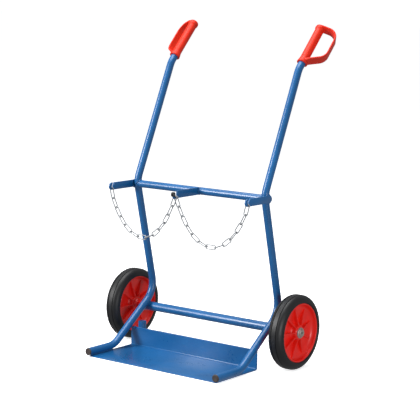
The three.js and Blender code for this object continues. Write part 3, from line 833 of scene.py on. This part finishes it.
# grips
def gripAxes(sign):
    # along the tube, and the way the guard stands out
    a, b = (Vector((0, *tubeYZ[i])) for i in (4, 5))
    along = (b - a).normalized()
    behind = Vector((0, along.z, -along.y))
    turn = radians(28)
    guard = Vector((sign * cos(turn), 0, 0)) + behind * sin(turn)
    return along, guard


def gripSleeve(spec):
    r, c, h, length = spec["radius"], spec["collar"], spec["head"], spec["length"]
    step = length - spec["headLength"]
    sleeve = [(0, 0), (c - 0.0012, 0), (c - 0.0002, 0.0008), (c, 0.0020), (c - 0.0008, 0.0050),
              (r + 0.0012, 0.0150), (r + 0.0003, 0.0190), (r, 0.0240), (r, step - 0.0010),
              (r + 0.0004, step), (h - 0.0006, step + 0.0022), (h, step + 0.0034), (h, length - 0.0085)]
    sleeve += arcPoints((h - 0.0085, length - 0.0085), 0.0085, 8, 86, 8)
    return sleeve + [(0, length)]


def gripGuard(spec, place):
    # a strap that leaves the mouth, bends at the knee and returns to the head
    corners = [Vector((0, 0, spec["start"])), Vector((spec["offset"], 0, spec["knee"])),
               Vector((spec["offset"], 0, spec["top"])), Vector((0.004, 0, spec["top"]))]
    knee = bentPath(corners[:3], spec["kneeBend"], 5)
    top = bentPath(corners[1:], spec["topBend"], 5)
    line = knee[:-1] + top[1:]
    lower = line[0] + (line[1] - line[0]) * 0.45
    line.insert(1, lower)
    edge = spec["edge"]
    rounded = []
    for across, over, start in ((1, 1, 0), (-1, 1, 90), (-1, -1, 180), (1, -1, 270)):
        rounded += [(across, over, *p) for p in arcPoints((0, 0), edge, start, start + 90, 3)]
    verts = []
    for i, (point, tangent, _, _) in enumerate(ringFrames(line)):
        normal = Vector((tangent.z, 0, -tangent.x))
        half = (spec["root"] if i == 0 else spec["thickness"]) / 2
        wide = (spec["rootWidth"] if i == 0 else spec["width"]) / 2
        for across, over, u, v in rounded:
            spot = point + normal * (across * (half - edge) + u)
            verts.append(place(spot.x, spot.z, over * (wide - edge) + v))
    return meshFrom("gripGuard", verts, ringFaces(len(line), len(rounded)))


def grips():
    spec = {"mouth": 0.026, "length": 0.164, "radius": 0.0152, "collar": 0.019, "head": 0.0175,
            "headLength": 0.018, "bore": 0.0130, "endWall": 0.004, "offset": 0.0635, "start": 0.007,
            "knee": 0.0485, "top": 0.1575, "kneeBend": 0.038, "topBend": 0.032, "thickness": 0.0058,
            "root": 0.012, "width": 0.0388, "rootWidth": 0.030, "edge": 0.0022, "voxel": 0.0011}
    for side, sign in sides:
        along, guard = gripAxes(sign)
        square = along.cross(guard).normalized()
        corner = Vector((sign * sideTubeSpec["track"] / 2, *tubeYZ[4]))
        mouth = corner + along * spec["mouth"]
        grip = finishMesh(f"{side}_handle", turnedMesh("sleeve", gripSleeve(spec), mouth, along, 64), gripRed)
        band = gripGuard(spec, lambda out, up, over: mouth + guard * out + along * up + square * over)
        joined = bmesh.new()
        joined.from_mesh(grip.data)
        joined.from_mesh(band)
        joined.to_mesh(grip.data)
        joined.free()
        withModifier(grip, "REMESH", mode="VOXEL", voxel_size=spec["voxel"])
        withModifier(grip, "SMOOTH", factor=0.5, iterations=4)
        depth = spec["length"] - spec["endWall"]
        cutter = [(0, -0.03), (spec["bore"], -0.03), (spec["bore"], depth), (0, depth)]
        bore = finishMesh("bore", turnedMesh("bore", cutter, mouth, along, 64), gripRed)
        withModifier(grip, "BOOLEAN", operation="DIFFERENCE", object=bore, solver="EXACT")
        bpy.data.objects.remove(bore)
        grip.data.shade_smooth()
        grip.data.set_sharp_from_angle(angle=radians(50))
        grip.data.materials.clear()
        grip.data.materials.append(gripRed)
        settle(grip, "cart_frame", "red_grip", f"{side}_grip")


# wheels
def tyreProfile():
    # bead, side wall with a raised moulding line, round shoulder, then half of the grooved tread
    spec = {"outer": 0.125, "bead": 0.0988, "groove": 0.009, "grooveWidth": 0.003, "grooveDepth": 0.003}
    bead, outer, g = spec["bead"], spec["outer"], spec["groove"]
    w, d = spec["grooveWidth"] / 2, spec["grooveDepth"]
    half = [(bead, 0.0240), (bead + 0.0006, 0.0264), (bead + 0.0022, 0.0277), (bead + 0.0046, 0.0280),
            (0.1050, 0.0278), (0.1072, 0.0272)]
    for k in range(13):
        angle = radians(10 + 78 * k / 12)
        spot = (0.1050 + 0.0200 * sin(angle), 0.0080 + 0.0192 * cos(angle))
        if spot[1] > g + w + 0.0002:
            half.append(spot)
    half += [(outer - 0.0001, g + w), (outer - 0.0006, g + w - 0.0003), (outer - d, g + w * 0.5),
             (outer - d - 0.0002, g), (outer - d, g - w * 0.5), (outer - 0.0006, g - w + 0.0003),
             (outer, g - w), (outer, g - w - 0.0012), (outer, 0.0012), (outer, 0.0004)]
    return mirrored(half)


def rimBody(side, sign):
    centre, size = spanOf(f"{side}_wheel_rim")
    r, half = size.z / 2, size.x / 2
    spec = {"wall": 0.005, "web": 0.0026, "hub": 0.0245, "hubHalf": 0.022, "hubEdge": 0.004, "bore": 0.0136,
            "lipEdge": 0.0018, "ribs": 9, "ribPhase": 37}
    inner, hub, hubHalf = r - spec["wall"], spec["hub"], spec["hubHalf"]
    edge, lip = spec["hubEdge"], spec["lipEdge"]
    upper = [(spec["bore"], hubHalf)]
    upper += arcPoints((hub - edge, hubHalf - edge), edge, 90, 8, 5)
    upper += [(hub + 0.0010, 0.010), (hub + 0.0030, 0.0058), (hub + 0.0085, 0.0034),
              (0.050, spec["web"] + 0.0004), (0.070, spec["web"] + 0.0012), (inner - 0.010, 0.0056),
              (inner - 0.0050, 0.0088), (inner - 0.0022, 0.0135), (inner, 0.019),
              (inner + 0.0004, half - 0.002)]
    upper += arcPoints((inner + 0.0006 + lip, half - lip), lip, 180, 90, 4)
    upper += arcPoints((r - lip, half - lip), lip, 90, 0, 4)
    body = turnedMesh(f"{side}RimBody", mirrored(upper), centre, (sign, 0, 0), 96)
    rim = finishMesh(f"{side}_rim", body, rimRed, 45)
    return rim, centre, spec, inner


def rimRibs(side, sign, centre, spec, inner):
    # ribs on both faces of the web, deep at the hub and dying into the dish
    tree = NodeTree(f"{side}RibTree")
    tree.size("Rib Count", spec["ribs"], "NodeSocketInt")
    tree.size("First Rib", radians(spec["ribPhase"]))
    tree.size("Hub Radius", spec["hub"])
    tree.size("Rib Thickness", 0.0034)
    tree.size("Rib Reach", inner - spec["hub"] + 0.001)
    tree.size("Hub Height", 0.0205)
    tree.size("Rim Height", 0.0065)
    tree.start()
    ring = tree.add("GeometryNodeMeshCircle", {"Vertices": tree.value("Rib Count"), "Radius": 0.001},
                    fill_type="NONE")
    box = tree.add("GeometryNodeMeshGrid", {"Size X": 1.0, "Size Y": 1.0, "Vertices X": 10, "Vertices Y": 2})
    solid = tree.add("GeometryNodeExtrudeMesh", {"Mesh": box, "Offset Scale": 1.0, "Individual": False},
                     mode="FACES")
    flipped = tree.add("GeometryNodeFlipFaces", {0: box})
    whole = tree.add("GeometryNodeJoinGeometry", {})
    tree.tree.links.new(solid, whole.node.inputs[0])
    tree.tree.links.new(flipped, whole.node.inputs[0])
    whole = tree.add("GeometryNodeMergeByDistance", {0: whole, "Distance": 0.0001})
    # unit block: x along the rib from 0 to 1, y across it, z from face to face
    place = tree.add("GeometryNodeInputPosition")
    parts = tree.add("ShaderNodeSeparateXYZ", {0: place})
    split = parts.node.outputs
    share = tree.maths("ADD", split[0], 0.5)
    fall = tree.maths("POWER", share, 0.8)
    drop = tree.maths("SUBTRACT", tree.value("Rim Height"), tree.value("Hub Height"))
    halfHeight = tree.maths("ADD", tree.maths("MULTIPLY", fall, drop), tree.value("Hub Height"))
    along = tree.maths("ADD", tree.maths("MULTIPLY", share, tree.value("Rib Reach")),
                       tree.maths("SUBTRACT", tree.value("Hub Radius"), 0.001))
    taper = tree.maths("SUBTRACT", 1.15, tree.maths("MULTIPLY", share, 0.35))
    across = tree.maths("MULTIPLY", tree.maths("MULTIPLY", split[1], tree.value("Rib Thickness")), taper)
    level = tree.maths("SUBTRACT", tree.maths("MULTIPLY", split[2], 2.0), 1.0)
    height = tree.maths("MULTIPLY", level, halfHeight)
    moved = tree.add("ShaderNodeCombineXYZ", {0: along, 1: across, 2: height})
    shaped = tree.add("GeometryNodeSetPosition", {"Geometry": whole, "Position": moved})
    index = tree.add("GeometryNodeInputIndex")
    turn = tree.maths("ADD", tree.maths("MULTIPLY", index, 2 * pi / spec["ribs"]),
                      tree.value("First Rib"))
    spin = tree.add("ShaderNodeCombineXYZ", {2: turn})
    placed = tree.add("GeometryNodeInstanceOnPoints", {"Points": ring, "Instance": shaped, "Rotation": spin})
    tree.finish(placed, rimRed)
    seed = lineMesh("ribSeed", [Vector((0, 0, 0)), Vector((0, 0, 0.001))])
    ribs = tree.result(f"{side}Ribs", seed, rimRed, 40)
    forwards, outwards = Vector((0, -1, 0)), Vector((sign, 0, 0))
    basis = Matrix((forwards, outwards.cross(forwards), outwards)).transposed().to_4x4()
    ribs.data.transform(Matrix.Translation(centre) @ basis)
    return ribs


def wheels():
    for side, sign in sides:
        centre, _ = spanOf(f"{side}_tyre")
        tyre = turnedMesh(f"{side}TyreMesh", tyreProfile(), centre, (1, 0, 0), 128)
        tyre = finishMesh(f"{side}_tyre_ring", tyre, rubber, 50)
        settle(tyre, f"{side}_wheel", "tyre", f"{side}_tyre")
        rim, middle, spec, inner = rimBody(side, sign)
        settle(rim, f"{side}_wheel", "red_rim", f"{side}_wheel_rim")
        ribs = rimRibs(side, sign, middle, spec, inner)
        bevelled(ribs, 0.0007, 2, 40, 50)
        ribs.name = f"{side}_rim_ribs"
        settle(ribs, f"{side}_wheel", "red_rim")


def axleFittings():
    def ringProfile(inner, outer, length, edge=0.0005):
        return [(inner, edge), (inner + edge, 0), (outer - edge, 0), (outer, edge),
                (outer, length - edge), (outer - edge, length), (inner + edge, length),
                (inner, length - edge)]

    axle, size = spanOf("axle")
    y, z, r, end = axle.y, axle.z, size.z / 2, size.x / 2
    drilled = [(0, end - 0.0065), (0.0013, end - 0.0058), (0.0013, end - 0.0034), (0.0032, end),
               (r - 0.0012, end), (r, end - 0.0012)]
    # the axle end shows in each hub cap's hole; its near-black steel is painted shade there
    turnedPiece("axle_rod", mirrored(drilled), (0, y, z), (1, 0, 0), axleSteel, "steel", "axle")
    bore = 0.0103
    plain = {"axle_bush": (steel, "steel"), "inner_washer": (zinc, "zinc"), "outer_washer": (zinc, "zinc"),
             "wheel_bush": (nylon, "nylon")}
    for side, sign in sides:
        def inboardEnd(node):
            # the end nearest the frame, then the outer radius and the length
            centre, size = spanOf(f"{side}_{node}")
            return (centre.x - sign * size.x / 2, y, z), size.z / 2, size.x

        for node, (look, slot) in plain.items():
            start, outer, length = inboardEnd(node)
            body = f"{side}_wheel" if node == "wheel_bush" else "cart_frame"
            turnedPiece(f"{side}_{node}_ring", ringProfile(bore, outer, length), start, (sign, 0, 0),
                        look, slot, f"{side}_{node}", body=body)
        start, foot, length = inboardEnd("axle_spacer")
        flare = 0.012
        thin = bore + 0.004
        profile = [(bore, 0.0004), (bore + 0.0004, 0), (thin - 0.0006, 0), (thin, 0.0006),
                   (thin, length - flare)]
        profile += [(thin + (foot - thin) * (k / 6) ** 2, length - flare + (flare - 0.0012) * k / 6)
                    for k in range(1, 7)]
        profile += [(foot, length - 0.0005), (foot - 0.0006, length), (bore + 0.0004, length),
                    (bore, length - 0.0004)]
        turnedPiece(f"{side}_hub_sleeve", profile, start, (sign, 0, 0), rimRed, "red_rim",
                    f"{side}_axle_spacer", 56)
        start, outer, h = inboardEnd("retaining_cap")
        hole = 0.0034
        profile = [(bore, 0.0003), (bore + 0.0003, 0), (outer - 0.0008, 0), (outer, 0.0006), (outer, 0.0014),
                   (outer - 0.0006, 0.0019), (0.0139, 0.0022), (0.0131, 0.0028), (0.0127, 0.0046)]
        profile += arcPoints((0.0106, h - 0.0021), 0.0021, 5, 90, 6)
        profile += [(hole + 0.0012, h - 0.0001), (hole, h - 0.0010), (hole, h - 0.0015), (bore, h - 0.0015)]
        turnedPiece(f"{side}_hub_cap", profile, start, (sign, 0, 0), steel, "steel",
                    f"{side}_retaining_cap", 64)


# chains
chainSpec = {"innerLength": 0.0354, "innerWidth": 0.0100, "wire": 0.0038, "weldSwell": 0.14, "links": 13}


def linkAxes(node):
    # centre, long way and flat way of a link, read from its frame node
    points = np.array([v.co for v in nodes[node].data.vertices])
    points = np.unique(points.round(6), axis=0)
    centre = (points.max(0) + points.min(0)) / 2
    _, vectors = np.linalg.eigh(np.cov((points - points.mean(0)).T))
    along, square = Vector(vectors[:, 2]), Vector(vectors[:, 0])
    return Vector(centre), along, square


def chain(side):
    tree = NodeTree(f"{side}ChainTree")
    tree.size("Inner Length", chainSpec["innerLength"])
    tree.size("Inner Width", chainSpec["innerWidth"])
    tree.size("Wire", chainSpec["wire"])
    tree.size("Weld Swell", chainSpec["weldSwell"])
    tree.start()
    crown = tree.maths("MULTIPLY", tree.maths("ADD", tree.value("Inner Width"), tree.value("Wire")), 0.5)
    circle = tree.add("GeometryNodeCurvePrimitiveCircle", {"Resolution": 40, "Radius": crown}, mode="RADIUS")
    place = tree.add("GeometryNodeInputPosition")
    split = tree.add("ShaderNodeSeparateXYZ", {0: place}).node.outputs
    spare = tree.maths("SUBTRACT", tree.value("Inner Length"), tree.value("Inner Width"))
    pull = tree.maths("MULTIPLY", spare, 0.5)
    stretch = tree.maths("MULTIPLY", tree.maths("SIGN", tree.maths("ADD", split[1], 1e-5)), pull)
    away = tree.add("ShaderNodeCombineXYZ", {1: stretch})
    oval = tree.add("GeometryNodeSetPosition", {"Geometry": circle, "Offset": away})
    oval = tree.add("GeometryNodeSubdivideCurve", {"Curve": oval, "Cuts": 2})
    after = tree.add("ShaderNodeSeparateXYZ", {0: tree.add("GeometryNodeInputPosition")}).node.outputs
    onLeg = tree.maths("GREATER_THAN", after[0], 0.002)
    nearWeld = tree.maths("SUBTRACT", 1.0, tree.maths("MINIMUM", tree.maths(
        "MULTIPLY", tree.maths("ABSOLUTE", after[1]), 330.0), 1.0))
    swell = tree.maths("ADD", tree.maths("MULTIPLY", tree.maths("MULTIPLY", onLeg, nearWeld),
                                         tree.value("Weld Swell")), 1.0)
    wireRadius = tree.maths("MULTIPLY", tree.value("Wire"), 0.5)
    section = tree.add("GeometryNodeCurvePrimitiveCircle", {"Resolution": 12, "Radius": wireRadius},
                       mode="RADIUS")
    link = tree.add("GeometryNodeCurveToMesh", {"Curve": oval, "Profile Curve": section, "Scale": swell})
    turn = tree.add("GeometryNodeInputNamedAttribute", {"Name": "turn"}, data_type="QUATERNION")
    placed = tree.add("GeometryNodeInstanceOnPoints", {"Points": tree.source.outputs[0], "Instance": link,
                                                      "Rotation": turn})
    tree.finish(placed, zinc)

    names = [f"{side}_chain_link_{i + 1:02d}" for i in range(chainSpec["links"])]
    places = [linkAxes(name) for name in names]
    seed = bpy.data.meshes.new("chainSeed")
    seed.from_pydata([tuple(centre) for centre, _, _ in places], [], [])
    turns = seed.attributes.new("turn", "QUATERNION", "POINT")
    for i, (_, along, square) in enumerate(places):
        basis = Matrix((along.cross(square), along, square)).transposed()
        turns.data[i].value = basis.to_quaternion()
    piece = tree.result(f"{side}_chain_links", seed, zinc, 60)
    settle(piece, f"{side}_chain", "zinc", *names)


# room
def room():
    spec = {"size": 40, "paper": 0.97, "glow": 0.68}
    floorMesh = bpy.data.meshes.new("floor")
    size = spec["size"]
    floorMesh.from_pydata([(-size, -size, -0.0005), (size, -size, -0.0005), (size, size, -0.0005),
                           (-size, size, -0.0005)], [], [(0, 1, 2, 3)])
    floor = linked("floor", floorMesh)
    s = Shader("paleFloor")
    s.set(Base_Color=(spec["paper"],) * 3, Roughness=0.9)
    s.set(Emission_Color=(1, 1, 1), Emission_Strength=spec["glow"])
    floorMesh.materials.append(s.material)
    floor.visible_diffuse = False  # the paper is seen, and the lamps alone light the cart
    floor.visible_glossy = False
    world = bpy.data.worlds.new("studio")
    bpy.context.scene.world = world
    world.use_nodes = True
    tree = world.node_tree
    # white to the eye, dimmer as a light, so that the lamps shape the tubes
    plain = tree.nodes["Background"]
    plain.inputs[0].default_value = (1, 1, 1, 1)
    plain.inputs[1].default_value = 1.05
    dim = tree.nodes.new("ShaderNodeBackground")
    dim.inputs[0].default_value = (0.93, 0.96, 1.0, 1)
    dim.inputs[1].default_value = 0.36
    path = tree.nodes.new("ShaderNodeLightPath")
    mix = tree.nodes.new("ShaderNodeMixShader")
    tree.links.new(path.outputs["Is Camera Ray"], mix.inputs[0])
    tree.links.new(dim.outputs[0], mix.inputs[1])
    tree.links.new(plain.outputs[0], mix.inputs[2])
    tree.links.new(mix.outputs[0], tree.nodes["World Output"].inputs[0])


def softLight(name, place, aim, size, power):
    data = bpy.data.lights.new(name, "AREA")
    data.shape = "RECTANGLE"
    data.size, data.size_y = size
    data.energy = power
    light = linked(name, data)
    light.location = place
    light.rotation_euler = (Vector(aim) - Vector(place)).to_track_quat("-Z", "Y").to_euler()
    light.visible_camera = False


def lights():
    middle = (0, 0.1, 0.5)
    softLight("keyBox", (-2.3, -3.3, 2.4), middle, (1.1, 2.2), 200)
    softLight("topBox", (-0.4, 0.0, 3.4), middle, (2.4, 2.4), 100)
    softLight("wheelBox", (1.7, -0.5, 0.35), (0.35, 0.2, 0.12), (0.6, 0.4), 10)


def camera():
    spec = {"place": (3.0916, -3.9358, 1.2602), "forward": (-0.59280, 0.79196, -0.14625),
            "up": (-0.10405, 0.10477, 0.98904), "focalPixels": 1534.2, "frame": 420}
    forward = Vector(spec["forward"]).normalized()
    up = Vector(spec["up"])
    up = (up - forward * up.dot(forward)).normalized()
    right = forward.cross(up)
    data = bpy.data.cameras.new("camera")
    data.sensor_width = 36
    data.lens = 36 * spec["focalPixels"] / spec["frame"]
    data.clip_end = 100
    eye = linked("camera", data)
    turn = Matrix((right, up, -forward)).transposed().to_4x4()
    eye.matrix_world = Matrix.Translation(spec["place"]) @ turn
    bpy.context.scene.camera = eye


room()
lights()
camera()
bpy.context.scene.view_settings.view_transform = "Standard"
print("room, lights and camera set")
sideTubes()
straightTubes()
frameWelds()
toePlate()
print("frame made")
outerArms()
centreArm()
hookAndCap()
footPlugs()
rodHolder()
print("arms, hook and fittings made")
grips()
print("grips made")
wheels()
axleFittings()
print("wheels made")
for side, _ in sides:
    chain(side)
print("chains made")
